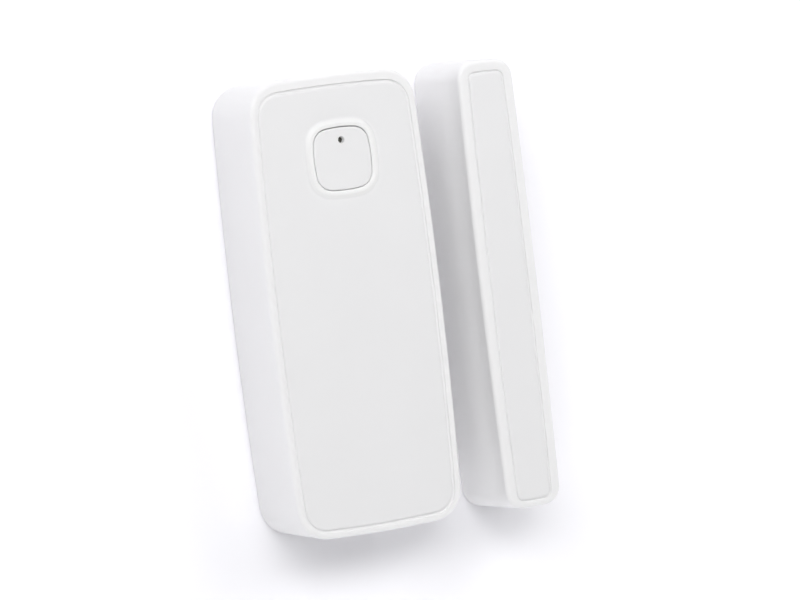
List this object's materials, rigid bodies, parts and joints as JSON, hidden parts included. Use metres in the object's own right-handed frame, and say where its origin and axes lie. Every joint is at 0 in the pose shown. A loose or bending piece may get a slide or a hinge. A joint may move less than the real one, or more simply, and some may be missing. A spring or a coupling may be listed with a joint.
{
  "type": "door contact sensor",
  "caption": "Surface-mount door contact sensor: a battery-powered reed-switch unit with a front button, and a slim bar-magnet unit for the door leaf.",
  "frame": {"origin": "on the plane that the adhesive pads stick to, under the middle of the sensor unit", "axes": "+Z out of the front faces, +Y towards the button end, +X from the sensor unit to the magnet unit"},
  "size_m": [0.0586, 0.0908, 0.0205],
  "materials": {
    "white_plastic": "white ABS, satin moulded surface",
    "cover_plastic": "white ABS, fine spark-eroded texture",
    "clear_plastic": "clear moulded acrylic, polished",
    "black_plastic": "black nylon, matt",
    "board_laminate": "glass-epoxy laminate under green solder mask",
    "reed_glass": "drawn glass, faintly green",
    "nickel": "nickel plate, semi-bright",
    "steel": "zinc-plated steel",
    "copper": "bare copper wire, lacquered",
    "aluminium": "drawn aluminium can, satin",
    "cell_jacket": "printed metal jacket, semi-gloss, no text",
    "ferrite": "sintered ferrite, ground faces",
    "pad_foam": "white polyethylene foam, matt"
  },
  "bodies": {
    "base": {"rear_cover": "cover_plastic", "adhesive_pad": "pad_foam"},
    "sensor": {"front_housing": "white_plastic", "front_panel": "white_plastic", "circuit_board": "board_laminate", "board_screw_1": "steel", "board_screw_2": "steel", "board_screw_3": "steel", "board_screw_4": "steel", "button_switch": "black_plastic", "status_led": "clear_plastic", "microcontroller": "black_plastic", "reed_switch_glass": "reed_glass", "reed_blade_upper": "nickel", "reed_blade_lower": "nickel", "radio_module": "nickel", "capacitor": "aluminium", "antenna_coil": "copper", "tamper_switch": "black_plastic", "battery_holder": "black_plastic", "battery_cell_left": "cell_jacket", "battery_cell_right": "cell_jacket", "battery_link_plate": "nickel", "battery_terminal_positive": "nickel", "battery_terminal_negative": "nickel", "battery_spring_left": "nickel", "battery_spring_right": "nickel"},
    "button": {"button": "white_plastic", "light_pipe": "clear_plastic", "button_switch_plunger": "steel"},
    "tamper": {"tamper_plunger": "cover_plastic"},
    "magnet_unit": {"magnet_housing": "white_plastic", "magnet_panel": "white_plastic", "bar_magnet": "ferrite", "magnet_foam": "pad_foam", "magnet_rear_cover": "cover_plastic", "magnet_adhesive_pad": "pad_foam"}
  },
  "joints": [
    {"name": "sensor_lift_off", "type": "slide", "parent": "base", "child": "sensor", "axis": [0, 0, 1], "range_m": [0, 0.025]},
    {"name": "button_press", "type": "slide", "parent": "sensor", "child": "button", "axis": [0, 0, -1], "range_m": [0, 0.0004], "stiffness_N_per_m": 2000, "springref_m": -0.0002},
    {"name": "tamper_release", "type": "slide", "parent": "sensor", "child": "tamper", "axis": [0, 0, -1], "range_m": [0, 0.0012], "stiffness_N_per_m": 80, "springref_m": 0.002},
    {"name": "door_opening", "type": "slide", "parent": "base", "child": "magnet_unit", "axis": [1, 0, 0], "range_m": [0, 0.05]}
  ]
}
